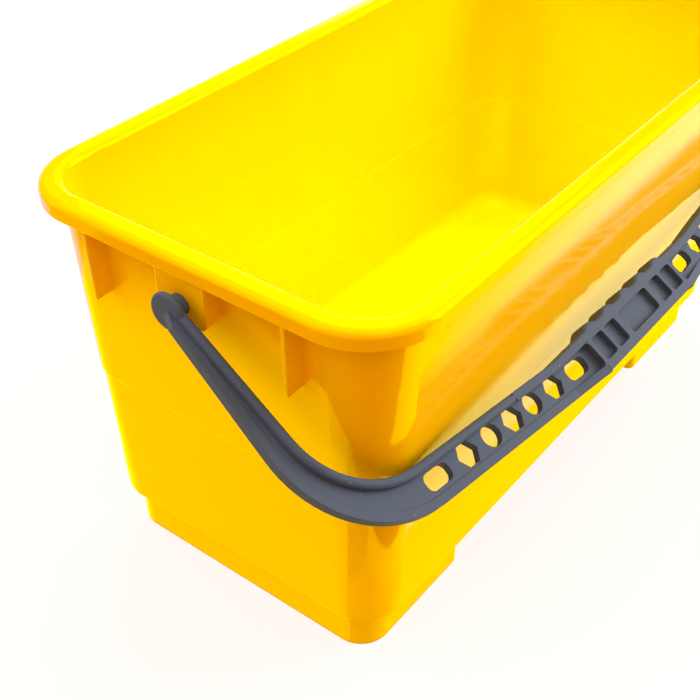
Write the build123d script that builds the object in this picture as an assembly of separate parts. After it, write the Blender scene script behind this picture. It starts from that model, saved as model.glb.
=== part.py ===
"""Window cleaning bucket: a long rectangular tub on two feet, with a swinging carrying handle.

Millimetres. X runs along the tub, Y across it and Z up. The origin lies on the plane the feet stand on,
under the middle of the whole bucket with its handle resting against the front wall (the -Y side).
"""

import math
import os

from build123d import *

# Tub wall and floor
base_length = 465.0
base_width = 218.0
base_corner = 27.0
base_round = 1.2
mouth_corner = 34.0
mouth_round = 5.0
wall_draft = 2.6
wall = 2.7
floor = 3.0
floor_round = 14.0

# Shallow outward step that runs round the wall at mid height
belt_height = 134.0
belt_step = 0.9
belt_step_inside = 0.35
belt_ramp = 2.0

# Rim: a flat flange that reaches out past the wall, with a skirt hanging from its outer edge
rim_end_reach = 12.0
rim_side_reach = 10.5
rim_corner = 45.0
rim_height = 266.0
rim_plate = 2.8
rim_round = 4.5
skirt_depth = 11.5
skirt_wall = 2.5
skirt_round = 0.8

# Feet: two hollow boxes across the underside
foot_height = 32.4
foot_length = 100.5
foot_end_inset = 7.5
foot_side_inset = 8.8
foot_outer_corner = 20.0
foot_inner_corner = 6.0
foot_wall = 3.0
foot_round = 1.2

# Ribs under the rim at both ends
rib_offset = 69.0
rib_thickness = 2.0
rib_drop = 56.0
rib_setback = 0.6
rib_draft = 2.0

# Pivot bosses under the rim at both ends
boss_width = 34.0
boss_drop = 40.0
boss_setback = 1.3
boss_corner = 4.0
boss_plate = 3.0
boss_wall = 2.5

# Pivot: collar outside the boss, stud through it, snap head behind it
pivot_drop = 28.0
stud_radius = 5.0
stud_clearance = 0.05
collar_radius = 6.3
head_radius = 5.9
head_tip_radius = 4.4
head_length = 4.0
pivot_gap = 0.3
eye_radius = 11.2
eye_inset = 1.5
eye_round = 1.9

# Handle loop, measured in its own plane: v is the distance from the pivot axis
arm_gap = 4.2
arm_splay = 1.0
bar_drop = 163.0
bar_tilt = 5.6
bar_width = 25.8
inner_corner = 50.0
outer_corner = 71.0
flange = 5.6
flange_height = 15.6
flange_round = 2.6
flat_length = 75.0
flat_round = 1.0
web = 5.0
lip_width = 5.4
lip_rise = 0.5
ramp_length = 30.0
recess_corner = 3.0
toe_rise = 1.0
shoulder_drop = 8.0
arm_root_width = 8.4
arm_outer_splay = 5.7

# Grip at the middle of the bar
grip_outer_drop = 182.6
grip_height = 15.6
finger_pitch = 22.4
finger_count = 5
finger_tip_drop = 151.2
finger_dip_drop = 154.4
finger_round = 2.3
pocket_top_drop = 160.4
pocket_bottom_drop = 176.7
pocket_corner = 2.0
pocket_depth = 4.0
wide_pocket_length = 36.0
narrow_pocket_length = 13.0
narrow_pocket_places = (30.2, 46.0)

# Holes through the web, along a line that rises a little towards the grip
hole_row_drop = 173.6
hole_row_tilt = 5.1
slot_places = (72.8, 205.9)
slot_length = 19.6
slot_width = 10.8
slot_corner = 4.2
hexagon_places = (97.6, 138.8, 180.2)
hexagon_radius = 8.1
round_hole_places = (119.2, 158.7)
round_hole_radius = 7.0

# Gap between the handle and the front wall when the handle rests on it
rest_gap = 0.4

# How far a piece is sunk into the one it joins, and how far a cutter passes the face it opens
sink = 1.0

# Derived positions
skirt_bottom = rim_height - skirt_depth
plate_bottom = rim_height - rim_plate
belt_top = belt_height + belt_ramp
floor_top = foot_height + floor
pivot_height = rim_height - pivot_drop
boss_bottom = rim_height - boss_drop
half_grip = finger_count * finger_pitch / 2
draft = math.tan(math.radians(wall_draft))
splay = math.tan(math.radians(arm_splay))
outer_splay = math.tan(math.radians(arm_outer_splay))
tilt = math.tan(math.radians(bar_tilt))
sides = (-1, 1)
standing = (Align.CENTER, Align.CENTER, Align.MIN)


def rounded(length, width, corner, z):
    """A level rectangle with rounded corners at height z."""
    return Pos(0, 0, z) * RectangleRounded(length, width, corner)


def growth(z):
    """How far the outer wall at height z stands outside its bottom edge."""
    step = belt_step if z > belt_height else 0.0
    return draft * (z - foot_height) + step


def corner_radius(z):
    """Plan radius of the wall's corners at height z."""
    share = (z - foot_height) / (rim_height - foot_height)
    return base_corner + share * (mouth_corner - base_corner)


def wall_section(z, inset):
    """Plan outline of the wall at height z, moved in by inset."""
    spread = growth(z) - inset
    return rounded(base_length + 2 * spread, base_width + 2 * spread, corner_radius(z) - inset, z)


def end_wall(z):
    """Distance of the outer face of an end wall from the middle at height z."""
    return base_length / 2 + growth(z)


mouth_growth = growth(rim_height)
rim_length = base_length + 2 * (mouth_growth + rim_end_reach)
rim_width = base_width + 2 * (mouth_growth + rim_side_reach)
half_rim = rim_length / 2
boss_face = half_rim - boss_setback
boss_back = boss_face - boss_plate
arm_inside = half_rim + arm_gap


def tapered_block(levels):
    """Solid whose sides follow the wall through the given heights, each with its own inset."""
    return loft([wall_section(z, inset).face() for z, inset in levels], ruled=True)


def make_rim():
    block = extrude(rounded(rim_length, rim_width, rim_corner, skirt_bottom), skirt_depth)
    block = fillet(block.edges().group_by(Axis.Z)[-1], rim_round)
    block = fillet(block.edges().group_by(Axis.Z)[0], skirt_round)
    length = rim_length - 2 * skirt_wall
    width = rim_width - 2 * skirt_wall
    inside = rounded(length, width, rim_corner - skirt_wall, skirt_bottom)
    return block - extrude(inside, skirt_depth - rim_plate)


def make_rib(side, y):
    bottom = rim_height - rib_drop
    top = plate_bottom + sink
    outer_top = half_rim - rib_setback
    outer_bottom = outer_top - math.tan(math.radians(rib_draft)) * (top - bottom)
    profile = Polygon(
        (side * (end_wall(bottom) - sink), bottom),
        (side * outer_bottom, bottom),
        (side * outer_top, top),
        (side * (end_wall(top) - sink), top),
        align=None,
    )
    return Pos(0, y, 0) * extrude(Plane.XZ * profile, rib_thickness / 2, both=True)


def make_boss(side):
    start = end_wall(boss_bottom) - wall / 2
    height = plate_bottom + sink - boss_bottom
    outline = Rectangle(boss_width, height)
    outline = fillet(outline.vertices().group_by(Axis.Y)[0], boss_corner)
    block = extrude(outline, boss_face - start)
    hollow = Box(boss_width - 2 * boss_wall, height + 2 * sink, boss_back - start, align=standing)
    frame = Plane((side * start, 0, boss_bottom + height / 2), x_dir=(0, side, 0), z_dir=(side, 0, 0))
    return frame * (block - hollow)


def make_foot(side):
    outer_end = base_length / 2 - foot_end_inset
    outline = Rectangle(foot_length, base_width - 2 * foot_side_inset)
    outline = fillet(outline.vertices().group_by(Axis.X)[-1], foot_outer_corner)
    outline = fillet(outline.vertices().group_by(Axis.X)[0], foot_inner_corner)
    block = extrude(outline, foot_height + sink)
    block = fillet(block.edges().group_by(Axis.Z)[0], foot_round)
    foot = block - extrude(offset(outline, -foot_wall), foot_height)
    turn = Rot(0, 0, 0) if side > 0 else Rot(0, 0, 180)
    return turn * Pos(outer_end - foot_length / 2, 0, 0) * foot


def along_x(radius, side, near, far):
    """Cylinder on the pivot axis between two distances from the middle."""
    middle = side * (near + far) / 2
    return Pos(middle, 0, pivot_height) * Rot(0, 90, 0) * Cylinder(radius, far - near)


def make_tub():
    body = tapered_block([(z, 0.0) for z in (foot_height, belt_height, belt_top, rim_height)])
    body = fillet(body.edges().group_by(Axis.Z)[0], base_round)
    upper_wall = wall + belt_step - belt_step_inside
    lower = [(floor_top, wall), (belt_height, wall)]
    cavity = tapered_block(lower + [(belt_top, upper_wall), (rim_height + sink, upper_wall)])
    cavity = fillet(cavity.edges().group_by(Axis.Z)[0], floor_round)
    body += make_rim()
    for side in sides:
        for y in (-rib_offset, rib_offset):
            body += make_rib(side, y)
        body += make_boss(side)
        body += make_foot(side)
    body -= cavity
    for side in sides:
        body -= along_x(stud_radius + stud_clearance, side, boss_back - sink, boss_face + sink)
    mouth = body.faces().filter_by(Plane.XY).sort_by(Axis.Z)[-1].inner_wires()[0].edges()
    return fillet(mouth, mouth_round)


def loop_sketch():
    """Open space inside the handle's loop, drawn with y = -v."""
    corner_x = (arm_inside + bar_drop * splay) / (1 + splay * tilt)
    corner_v = bar_drop - corner_x * tilt
    flat_x = (bar_drop - finger_dip_drop) / tilt
    top = eye_radius + sink
    top_x = arm_inside - top * splay
    half = [(top_x, top), (corner_x, -corner_v), (flat_x, -finger_dip_drop)]
    mirrored = [(-x, y) for x, y in reversed(half)]
    sketch = Polygon(*half, *mirrored, align=None)
    return fillet(sketch.vertices().group_by(Axis.Y)[1], inner_corner)


def plate_sketch():
    """Everything inside the handle's outer edge, drawn with y = -v."""
    root = arm_inside + arm_root_width
    bar_outer = bar_drop + bar_width / math.cos(math.radians(bar_tilt))
    corner_x = (root + bar_outer * outer_splay) / (1 + outer_splay * tilt)
    corner_v = bar_outer - corner_x * tilt
    half = [
        (arm_inside + flange - lip_rise, toe_rise),
        (root + shoulder_drop * outer_splay, -shoulder_drop),
        (corner_x, -corner_v),
        (half_grip, -(bar_outer - half_grip * tilt)),
        (half_grip, -grip_outer_drop),
    ]
    mirrored = [(-x, y) for x, y in reversed(half)]
    sketch = Polygon(*half, *mirrored, align=None)
    corners = [v for v in sketch.vertices() if abs(abs(v.X) - corner_x) < sink]
    return fillet(corners, outer_corner)


def hole_sketches():
    """Openings through the web on both halves of the bar."""
    slope = math.tan(math.radians(hole_row_tilt))
    holes = []
    for side in sides:
        def place(x):
            return Pos(side * x, -(hole_row_drop - x * slope)) * Rot(0, 0, side * hole_row_tilt)

        holes += [place(x) * RectangleRounded(slot_length, slot_width, slot_corner) for x in slot_places]
        holes += [place(x) * RegularPolygon(hexagon_radius, 6) for x in hexagon_places]
        holes += [place(x) * Circle(round_hole_radius) for x in round_hole_places]
    return holes


def make_flange(loop):
    """Tall strip along the inner edge of the arms and the bar, round except beside the grip."""
    below_pivot = Pos(0, -bar_drop) * Rectangle(3 * arm_inside, 2 * bar_drop)
    band = (offset(loop, flange) - loop) & below_pivot
    strip = extrude(band, flange_height / 2, both=True)
    rims = strip.edges().group_by(Axis.Z)
    long_edges = [e for e in rims[0] + rims[-1] if e.center().Y < -sink]
    flat_end = half_grip + flat_length
    beside_grip = Pos(0, -bar_drop) * Rectangle(2 * flat_end, 2 * bar_drop)
    flat = extrude(band & beside_grip, flange_height / 2, both=True)
    flat_rims = flat.edges().group_by(Axis.Z)
    flat_edges = [e for e in flat_rims[0] + flat_rims[-1] if abs(e.center().X) < flat_end - sink]
    return fillet(long_edges, flange_round) + fillet(flat_edges, flat_round)


def make_ramps(edge):
    """Lip beside the grip, which climbs from the web up to the grip's face."""
    low = web / 2 + lip_rise
    high = grip_height / 2
    near = half_grip - sink
    far = half_grip + ramp_length
    profile = Polygon((near, -high), (near, high), (far, low), (far, -low), align=None)
    ramp = extrude(edge, high, both=True) & extrude(Plane.XZ * profile, 2 * bar_drop, both=True)
    return ramp + mirror(ramp, Plane.YZ)


def make_recess_corners():
    """Rounded inner corners of the recess that lies between the flange, the lip and the grip's end."""
    flange_side = finger_dip_drop + flange
    lip_side = bar_drop + (bar_width - lip_width) / math.cos(math.radians(bar_tilt)) - half_grip * tilt
    far = half_grip + 2 * recess_corner
    far_lip_side = lip_side - 2 * recess_corner * tilt
    points = [(half_grip, -flange_side), (far, -flange_side), (far, -far_lip_side), (half_grip, -lip_side)]
    recess = Polygon(*points, align=None)
    fill = recess - fillet(recess.vertices().group_by(Axis.X)[0], recess_corner)
    corners = extrude(fill, grip_height / 2, both=True)
    return corners + mirror(corners, Plane.YZ)


def finger_wave():
    """Chain of arcs along the grip's inner edge, each one tangent to the last."""
    middle = (finger_tip_drop + finger_dip_drop) / 2
    knots = [(-half_grip, -finger_dip_drop)]
    for k in range(2 * finger_count):
        knots.append(((k / 2 + 1 / 4) * finger_pitch - half_grip, -middle))
    knots.append((half_grip, -finger_dip_drop))
    heading = Vector(1, 0)
    arcs = []
    for start, end in zip(knots, knots[1:]):
        arcs.append(TangentArc(start, end, tangent=heading))
        heading = arcs[-1] % 1
    return arcs


def make_grip():
    """Block at the middle of the bar with finger waves inside and pockets in both faces."""
    inner = [(half_grip, -finger_dip_drop), (half_grip, -grip_outer_drop)]
    edge = Polyline(*inner, *[(-x, y) for x, y in reversed(inner)])
    block = extrude(make_face([*finger_wave(), *edge.edges()]), grip_height / 2, both=True)
    top_and_bottom = block.faces().filter_by(Plane.XY).edges()
    block = fillet(top_and_bottom.filter_by(GeomType.CIRCLE), finger_round)
    middle = (pocket_top_drop + pocket_bottom_drop) / 2
    height = pocket_bottom_drop - pocket_top_drop
    pockets = [Pos(0, -middle) * RectangleRounded(wide_pocket_length, height, pocket_corner)]
    narrow_pocket = RectangleRounded(narrow_pocket_length, height, pocket_corner)
    for x in narrow_pocket_places:
        pockets += [Pos(side * x, -middle) * narrow_pocket for side in sides]
    for pocket in pockets:
        cutter = extrude(Pos(0, 0, grip_height / 2 - pocket_depth) * pocket, grip_height)
        block -= cutter
        block -= mirror(cutter, Plane.XY)
    return block


def rest_angle():
    """Tilt of the handle from straight down at which its flange leans on the front wall."""
    lean_height = belt_top
    lean_x = end_wall(lean_height) - corner_radius(lean_height)
    v = bar_drop - lean_x * tilt + flange_round
    n = flange_round - flange_height / 2
    reach = (flange_round + rest_gap) * math.hypot(1, draft)
    target = base_width / 2 + belt_step + draft * (pivot_height - foot_height) + reach
    along = v - draft * n
    across = n + draft * v
    return math.degrees(math.asin(target / math.hypot(along, across)) - math.atan2(across, along))


def make_handle():
    loop = loop_sketch()
    plate = plate_sketch()
    sheet = plate - loop
    edge = sheet - offset(plate, -lip_width)
    body = extrude(sheet, web / 2, both=True)
    body += extrude(edge, web / 2 + lip_rise, both=True)
    body += make_flange(loop)
    body += make_ramps(edge)
    body += make_recess_corners()
    body += make_grip()
    for hole in hole_sketches():
        body -= extrude(hole, web, both=True)
    body = Pos(0, 0, pivot_height) * Rot(90, 0, 0) * body
    for side in sides:
        eye = along_x(eye_radius, side, arm_inside + eye_inset, arm_inside + flange)
        ends = eye.edges().sort_by(Axis.X)
        body += fillet([ends[0], ends[-1]], eye_round)
        body += along_x(collar_radius, side, boss_face + pivot_gap, arm_inside + eye_inset + sink)
        head_start = boss_back - pivot_gap
        body += along_x(stud_radius, side, head_start, boss_face + pivot_gap + sink)
        head = Cone(head_radius, head_tip_radius, head_length, align=standing)
        body += Pos(side * head_start, 0, pivot_height) * Rot(0, -side * 90, 0) * head
    swing = Pos(0, 0, pivot_height) * Rot(-rest_angle(), 0, 0) * Pos(0, 0, -pivot_height)
    return swing * body


tub = make_tub()
handle = make_handle()
front = handle.bounding_box().min.Y
back = tub.bounding_box().max.Y
to_origin = Pos(0, -(front + back) / 2, 0)

os.makedirs("parts", exist_ok=True)
export_step(to_origin * tub, "parts/tub.step")
export_step(to_origin * handle, "parts/handle.step")
print("rest angle", round(rest_angle(), 3))
print("tub centre in y", round(-(front + back) / 2, 3))
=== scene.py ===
# %% [markdown]
# # A window cleaning bucket in moulded plastic
# The bucket is two mouldings: a long yellow tub and a slate grey carrying handle that swings on two snap
# studs. Both solids arrive from the CAD model at their real size, so this lesson is about their finish: how
# a glossy, slightly see-through polypropylene takes the light, and how a satin grey plastic differs from it.

# %% Load the frame
import math

import bpy
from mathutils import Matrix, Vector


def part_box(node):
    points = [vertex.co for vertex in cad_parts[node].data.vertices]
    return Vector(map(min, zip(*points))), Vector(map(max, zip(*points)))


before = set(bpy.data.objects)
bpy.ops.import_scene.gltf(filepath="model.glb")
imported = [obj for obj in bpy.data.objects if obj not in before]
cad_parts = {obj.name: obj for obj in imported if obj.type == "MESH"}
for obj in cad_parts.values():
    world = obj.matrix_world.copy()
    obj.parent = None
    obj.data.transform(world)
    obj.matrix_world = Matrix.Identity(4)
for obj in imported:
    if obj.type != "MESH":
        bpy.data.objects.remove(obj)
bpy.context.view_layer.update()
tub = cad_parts["tub"]
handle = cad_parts["handle"]
tub_low, tub_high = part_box("tub")
tub_middle = (tub_low + tub_high) / 2
print("tub is", [round(1000 * v) for v in tub_high - tub_low], "mm")

# %% [markdown]
# ## Helpers
# A colour is easiest to read as the hex value seen on a screen, and a shader works in linear light, so one
# function converts between them. A pattern is easiest to think of as a width in millimetres, and a texture
# node asks for repeats per metre, so another converts that. The third adds a node: its own settings by name,
# then each input with a value or a link. The last one starts an empty material.

# %% Colour, scale and node helpers
MILLIMETRE = 0.001


def linear(hex_colour):
    """An sRGB hex colour as linear red, green, blue and alpha."""
    parts = [int(hex_colour[i:i + 2], 16) / 255 for i in (1, 3, 5)]
    curve = [c / 12.92 if c <= 0.04045 else ((c + 0.055) / 1.055) ** 2.4 for c in parts]
    return (*curve, 1.0)


def repeats(width_mm):
    """Texture scale at which one feature is about that many millimetres wide."""
    return 1.0 / (width_mm * MILLIMETRE)


def put(tree, kind, inputs, **settings):
    """Adds a node, sets its own settings, then fills its inputs with values or links."""
    node = tree.nodes.new("ShaderNode" + kind)
    for name, value in settings.items():
        setattr(node, name, value)
    for name, value in inputs.items():
        if isinstance(value, bpy.types.NodeSocket):
            tree.links.new(value, node.inputs[name])
        else:
            node.inputs[name].default_value = value
    return node


def new_material(name):
    """An empty node material, ready for a shader and its output."""
    material = bpy.data.materials.new(name)
    material.use_nodes = True
    material.node_tree.nodes.clear()
    return material


print("mid grey in linear light:", round(linear("#808080")[0], 3))

# %% [markdown]
# ## The tub: polypropylene, injection moulded in a polished mould
# Polypropylene is naturally milky, and a yellow pigment only partly hides that. Light enters the wall and
# scatters for a millimetre or two before it comes out, which softens the look of the plastic. A share of
# subsurface scattering does this, with red going furthest.
#
# The polished mould leaves a gloss with a faint waviness, which the reflections show, and handling leaves
# the gloss uneven. The Principled shader's own gloss would be white. In the photograph, which is overexposed,
# the reflections on this plastic are yellow except where the view grazes the wall. So the body's own specular
# level is 0, and the gloss is a layer over it, mixed in by Fresnel, with a colour that runs from yellow to
# white. Polypropylene has an index of about 1.49. The layer has 1.85, matched to the photograph: a stronger
# mirror stands for surroundings that are brighter than white.

# %% Tub plastic: colour and surface
YELLOW = "#FDCC00"
YELLOW_STREAK = "#FBC600"
STREAKS_MM = 90
HANDLING_MM = 35
WAVES_MM = 40
WAVE_DEPTH_MM = 0.03
EDGE_ROUND_MM = 0.5

tub_plastic = new_material("polypropylene_moulded_yellow")
tree = tub_plastic.node_tree
place = put(tree, "TexCoord", {}).outputs["Object"]
streaks = put(tree, "TexNoise", {"Vector": place, "Scale": repeats(STREAKS_MM), "Detail": 3.0})
colour = put(tree, "MixRGB", {"Fac": streaks.outputs["Fac"],
                              "Color1": linear(YELLOW), "Color2": linear(YELLOW_STREAK)})
handling = put(tree, "TexNoise", {"Vector": place, "Scale": repeats(HANDLING_MM), "Detail": 6.0})
gloss = put(tree, "MapRange", {"Value": handling.outputs["Fac"], "From Min": 0.3, "From Max": 0.7,
                               "To Min": 0.05, "To Max": 0.09})
edge = put(tree, "Bevel", {"Radius": EDGE_ROUND_MM * MILLIMETRE}, samples=6)
waves = put(tree, "TexNoise", {"Vector": place, "Scale": repeats(WAVES_MM), "Detail": 1.0})
wavy = put(tree, "Bump", {"Height": waves.outputs["Fac"], "Strength": 1.0,
                          "Distance": WAVE_DEPTH_MM * MILLIMETRE, "Normal": edge.outputs["Normal"]})
print("tub has", len(tree.nodes), "nodes for colour and surface")

# %% Tub plastic: body and gloss
POLYPROPYLENE_INDEX = 1.49
GLOSS_INDEX = 1.85
SCATTER_MM = 2.0
SHEEN = "#FFEE00"
SHEEN_GRAZING = "#FFFFFF"
GRAZING_FROM = 0.188
GRAZING_TO = 0.245

body = put(tree, "BsdfPrincipled", {
    "Base Color": colour.outputs["Color"],
    "Roughness": gloss.outputs["Result"],
    "IOR": POLYPROPYLENE_INDEX,
    "Specular IOR Level": 0.0,
    "Subsurface Weight": 0.35,
    "Subsurface Radius": (1.0, 0.5, 0.1),
    "Subsurface Scale": SCATTER_MM * MILLIMETRE,
    "Normal": wavy.outputs["Normal"],
}, subsurface_method="RANDOM_WALK")
mirror = put(tree, "Fresnel", {"IOR": GLOSS_INDEX, "Normal": wavy.outputs["Normal"]})
steep = put(tree, "MapRange", {"Value": mirror.outputs[0],
                               "From Min": GRAZING_FROM, "From Max": GRAZING_TO})
sheen = put(tree, "MixRGB", {"Fac": steep.outputs[0],
                             "Color1": linear(SHEEN), "Color2": linear(SHEEN_GRAZING)})
polish = put(tree, "BsdfGlossy", {"Color": sheen.outputs[0], "Roughness": gloss.outputs["Result"],
                                  "Normal": wavy.outputs["Normal"]})
shader = put(tree, "MixShader", {0: mirror.outputs[0], 1: body.outputs[0], 2: polish.outputs[0]})
put(tree, "OutputMaterial", {"Surface": shader.outputs[0]})
tub.material_slots[0].material = tub_plastic
print("tub takes", tub_plastic.name)

# %% [markdown]
# ## The handle: polypropylene from a spark-eroded mould
# The mould was roughened by sparks, so the surface is satin: a fine grain that spreads the highlight. Such a
# grain is typically about 0.2 mm wide and can't be seen from a step away, so it is drawn at 0.8 mm. Hands
# leave the colour and the satin a little uneven, and a few pale specks are dust, which shows on dark plastic.
#
# The colour is a bluish slate, because the warm fill light further down takes some of its blue. A smooth
# plastic has a specular level of 0.5. Here it is 0.1, which was chosen while matching the photograph and is
# not a measured value.

# %% Handle plastic
SLATE = "#43556A"
SLATE_WORN = "#4C5F75"
DUST = "#A9AFB8"
WORN_MM = 30
SPECKS_MM = 9
GRAIN_MM = 0.8
GRAIN_DEPTH_MM = 0.05

handle_plastic = new_material("polypropylene_spark_eroded_slate")
tree = handle_plastic.node_tree
place = put(tree, "TexCoord", {}).outputs["Object"]
worn = put(tree, "TexNoise", {"Vector": place, "Scale": repeats(WORN_MM), "Detail": 5.0})
colour = put(tree, "MixRGB", {"Fac": worn.outputs["Fac"],
                              "Color1": linear(SLATE), "Color2": linear(SLATE_WORN)})
specks = put(tree, "TexVoronoi", {"Vector": place, "Scale": repeats(SPECKS_MM)})
dust = put(tree, "MapRange", {"Value": specks.outputs["Distance"], "From Min": 0.03, "From Max": 0.05,
                              "To Min": 0.5, "To Max": 0.0})
dusty = put(tree, "MixRGB", {"Fac": dust.outputs["Result"],
                             "Color1": colour.outputs["Color"], "Color2": linear(DUST)})
satin = put(tree, "MapRange", {"Value": worn.outputs["Fac"], "From Min": 0.3, "From Max": 0.7,
                               "To Min": 0.44, "To Max": 0.54})
edge = put(tree, "Bevel", {"Radius": EDGE_ROUND_MM * MILLIMETRE}, samples=6)
grain = put(tree, "TexNoise", {"Vector": place, "Scale": repeats(GRAIN_MM), "Detail": 2.0})
grained = put(tree, "Bump", {"Height": grain.outputs["Fac"], "Strength": 0.35,
                             "Distance": GRAIN_DEPTH_MM * MILLIMETRE, "Normal": edge.outputs["Normal"]})
shader = put(tree, "BsdfPrincipled", {
    "Base Color": dusty.outputs["Color"],
    "Roughness": satin.outputs["Result"],
    "IOR": POLYPROPYLENE_INDEX,
    "Specular IOR Level": 0.1,
    "Normal": grained.outputs["Normal"],
})
put(tree, "OutputMaterial", {"Surface": shader.outputs["BSDF"]})
handle.material_slots[0].material = handle_plastic
print("handle takes", handle_plastic.name)

# %% [markdown]
# ## Floor
# The bucket stands on a plain white table. More lamps could whiten it, but they would bleach the yellow too.
# So the floor glows at a strength of 1, which is white, for reflections and for most of what the camera sees.
# The rest of what the camera sees is white matt paint, and that keeps the shadow. Rays that carry light meet
# the paint as a grey, so the floor throws less light up at the walls.

# %% Floor
FLOOR_WIDTH = 12.0
GLOW_IN_REFLECTIONS = 1.0
GLOW_TO_CAMERA = 0.8
PAINT_FOR_LIGHT = "#A8A8A8"
PAINT_FOR_CAMERA = "#FFFFFF"


def seen_rays(tree):
    """1 for rays that show a surface, straight or in a reflection, and 0 for rays that carry light."""
    path = put(tree, "LightPath", {}).outputs
    mirrored = put(tree, "Math", {0: path["Is Glossy Ray"], 1: path["Is Transmission Ray"]},
                   operation="MAXIMUM")
    seen = put(tree, "Math", {0: path["Is Camera Ray"], 1: mirrored.outputs[0]}, operation="MAXIMUM")
    return seen.outputs[0]


bpy.ops.mesh.primitive_plane_add(size=FLOOR_WIDTH, location=(0, 0, 0))
floor = bpy.context.object
floor.name = "floor"
floor_paint = new_material("table_top_matt_white")
tree = floor_paint.node_tree
path = put(tree, "LightPath", {}).outputs
paint = put(tree, "MixRGB", {"Fac": path["Is Camera Ray"],
                             "Color1": linear(PAINT_FOR_LIGHT), "Color2": linear(PAINT_FOR_CAMERA)})
matt = put(tree, "BsdfDiffuse", {"Color": paint.outputs["Color"]})
white = put(tree, "Emission", {"Color": linear("#FFFFFF"), "Strength": 1.0})
share = put(tree, "MapRange", {"Value": path["Is Camera Ray"],
                               "To Min": GLOW_IN_REFLECTIONS, "To Max": GLOW_TO_CAMERA})
share = put(tree, "Math", {0: seen_rays(tree), 1: share.outputs[0]}, operation="MULTIPLY")
paper = put(tree, "MixShader", {0: share.outputs[0], 1: matt.outputs[0], 2: white.outputs[0]})
put(tree, "OutputMaterial", {"Surface": paper.outputs[0]})
floor.data.materials.append(floor_paint)
print("floor is", FLOOR_WIDTH, "m across")

# %% [markdown]
# ## Cards for the reflections
# A glossy wall shows what stands around it, and the walls in the photograph have bright and dark zones that a
# plain white room doesn't give. A studio makes such zones with cards. Here they lie flat on the floor and
# glow, and only reflections show them: they are hidden from the camera, cast no shadow and add no light to
# matt surfaces. A terracotta one lies on the camera's side, and a yellow one by the end wall fades outward.
# From the front wall outward lie a yellow one, a pale wedge, a dark strip and a wide pale one.
#
# Their outlines, in metres on the floor, and their strengths were set to match the photograph, and the bright
# ones are over 1. The cards belong to this studio and not to the bucket: from another side their edges can be
# seen in the walls.

# %% How a card is made
CARD_HEIGHT = 2 * MILLIMETRE
NO_FADE = (-9.0, -8.0)


def lay_card(name, outline, hex_colour, strength, fade=NO_FADE):
    """A glowing card that only reflections show, dark at the first x of the fade and full from the second."""
    sheet = bpy.data.meshes.new(name)
    sheet.from_pydata([(x, y, CARD_HEIGHT) for x, y in outline], [], [tuple(range(len(outline)))])
    card = bpy.data.objects.new(name, sheet)
    bpy.context.scene.collection.objects.link(card)
    card.visible_camera = False
    card.visible_diffuse = False
    card.visible_shadow = False
    board = new_material(name)
    place = put(board.node_tree, "TexCoord", {}).outputs["Object"]
    across = put(board.node_tree, "SeparateXYZ", {0: place}).outputs["X"]
    level = put(board.node_tree, "MapRange", {"Value": across, "From Min": fade[0], "From Max": fade[1],
                                              "To Max": strength}, interpolation_type="SMOOTHSTEP")
    glow = put(board.node_tree, "Emission", {"Color": linear(hex_colour),
                                             "Strength": level.outputs["Result"]})
    put(board.node_tree, "OutputMaterial", {"Surface": glow.outputs[0]})
    sheet.materials.append(board)
    print(name, "has", len(outline), "corners")


# %% Lay the cards
PALE = "#FFFFB4"
TERRACOTTA = "#A0561E"
BROWN = "#A06000"

FAR = [(-0.27, -0.226), (0.8, -0.226), (0.8, -0.8), (0.3, -0.8)]
WEDGE = [(-0.28, -0.14), (-0.3, -0.166), (0.8, -0.199), (0.8, -0.14)]
NEAR = [(-1.8, 0.4), (-0.46, 0.4), (-0.46, -0.073), (-0.42, -0.073),
        (0.4, -0.893), (0.4, -1.8), (-1.8, -1.8)]
END = [(-0.46, -0.073), (-0.2, -0.073), (-0.2, 0.4), (-0.46, 0.4)]
FRONT = [(-0.28, -0.074), (-0.28, -0.14), (0.8, -0.14), (0.8, -0.074)]
BAND = [(-0.3, -0.166), (-0.3, -0.212), (0.8, -0.224), (0.8, -0.199)]

lay_card("card_far", FAR, PALE, strength=1.9)
lay_card("card_wedge", WEDGE, PALE, strength=1.8)
lay_card("card_near", NEAR, TERRACOTTA, strength=1.0)
lay_card("card_end", END, SHEEN, strength=2.5, fade=(-0.46, -0.36))
lay_card("card_front", FRONT, SHEEN, strength=1.65)
lay_card("card_band", BAND, BROWN, strength=0.1)

# %% [markdown]
# ## Room and lamps
# The room is white where it is seen and warm where it lights. In the overexposed photograph the shaded sides
# of the yellow are orange, and the warm fill stands for that.
#
# A large soft lamp hangs above. Smaller ones stand to the left of the end wall, to the right of the front
# wall and behind. The corner between the two walls faces the camera, and neither side lamp lights it square
# on. The strengths were fitted to the photograph and then changed one by one. What faces up gets more light
# than the walls, and renders brighter than its colour is written.

# %% Room
WARM = "#FF9C48"
WARM_STRENGTH = 0.78

world = bpy.data.worlds.new("soft_room")
bpy.context.scene.world = world
world.use_nodes = True
world.node_tree.nodes.clear()
tree = world.node_tree
warm = put(tree, "Background", {"Color": linear(WARM), "Strength": WARM_STRENGTH})
white = put(tree, "Background", {"Color": linear("#FFFFFF"), "Strength": 1.0})
room = put(tree, "MixShader", {0: seen_rays(tree), 1: warm.outputs[0], 2: white.outputs[0]})
put(tree, "OutputWorld", {"Surface": room.outputs[0]})
print("room has", len(tree.nodes), "nodes")

# %% Lamps round the bucket


def soft_lamp(name, place, size, watts):
    """A square lamp at that place, facing the tub."""
    lamp = bpy.data.lights.new(name, "AREA")
    lamp.size = size
    lamp.energy = watts
    holder = bpy.data.objects.new(name, lamp)
    bpy.context.scene.collection.objects.link(holder)
    holder.location = place
    aim = tub_middle - holder.location
    holder.rotation_euler = aim.to_track_quat("-Z", "Y").to_euler()
    print(name, "stands", round(aim.length, 2), "m away")


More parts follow.
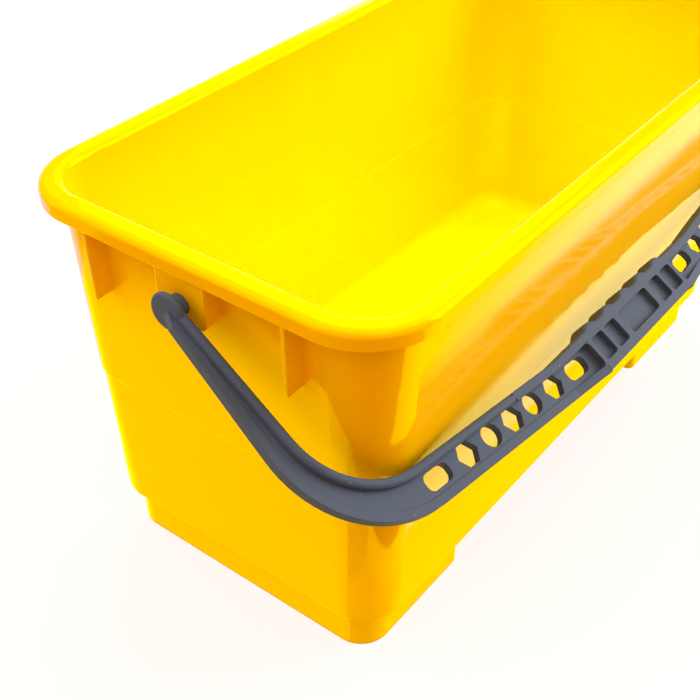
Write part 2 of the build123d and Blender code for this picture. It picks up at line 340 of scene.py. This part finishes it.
soft_lamp("lamp_above", place=(0.0, 0.0, 1.7), size=3.2, watts=39.0)
soft_lamp("lamp_left", place=(-1.5, 1.2, 1.0), size=2.0, watts=14.0)
soft_lamp("lamp_right", place=(1.5, -1.35, 0.8), size=1.6, watts=42.0)
soft_lamp("lamp_back", place=(1.0, 0.9, 1.15), size=1.0, watts=10.0)

# %% [markdown]
# ## Panel over the mouth
# The tub's walls keep much of the light above from its inside, which came out darker than in the photograph.
# A flat panel just over the mouth makes that up. It is smaller than the mouth and has a narrow spread, so
# that less of its light falls on the rim.

# %% Panel over the mouth
PANEL_LENGTH = 0.44
PANEL_WIDTH = 0.19
PANEL_HEIGHT = 0.29
PANEL_SPREAD = 95
PANEL_WATTS = 0.62

panel = bpy.data.lights.new("lamp_inside", "AREA")
panel.shape = "RECTANGLE"
panel.size = PANEL_LENGTH
panel.size_y = PANEL_WIDTH
panel.spread = math.radians(PANEL_SPREAD)
panel.energy = PANEL_WATTS
holder = bpy.data.objects.new("lamp_inside", panel)
bpy.context.scene.collection.objects.link(holder)
holder.location = (0.0, tub_middle.y, PANEL_HEIGHT)
holder.visible_camera = False
holder.visible_glossy = False
print("panel hangs", round((PANEL_HEIGHT - tub_high.z) / MILLIMETRE), "mm over the rim")

# %% [markdown]
# ## Camera
# The photograph looks down into the tub over the near corner. The place, the turn and the lens were found by
# fitting the tub's edges to the photograph, and are kept as real sizes here: metres, degrees and a lens in
# millimetres. The place is measured from the tub's middle across its width.

# %% Camera
LENS_MM = 60.73
SENSOR_MM = 36.0
EYE_ALONG = -0.59252
EYE_ACROSS = -0.36875
EYE_HEIGHT = 0.59109
EYE_TILT = 52.0967
EYE_TURN = -52.5017
NEAREST_SEEN = 0.01

camera = bpy.data.cameras.new("camera")
camera.lens = LENS_MM
camera.sensor_width = SENSOR_MM
camera.clip_start = NEAREST_SEEN
viewpoint = bpy.data.objects.new("camera", camera)
bpy.context.scene.collection.objects.link(viewpoint)
viewpoint.location = (EYE_ALONG, tub_middle.y + EYE_ACROSS, EYE_HEIGHT)
viewpoint.rotation_euler = (math.radians(EYE_TILT), 0.0, math.radians(EYE_TURN))
bpy.context.scene.camera = viewpoint
bpy.context.scene.view_settings.view_transform = "Standard"
print("camera is", round(viewpoint.location.length, 2), "m from the origin")
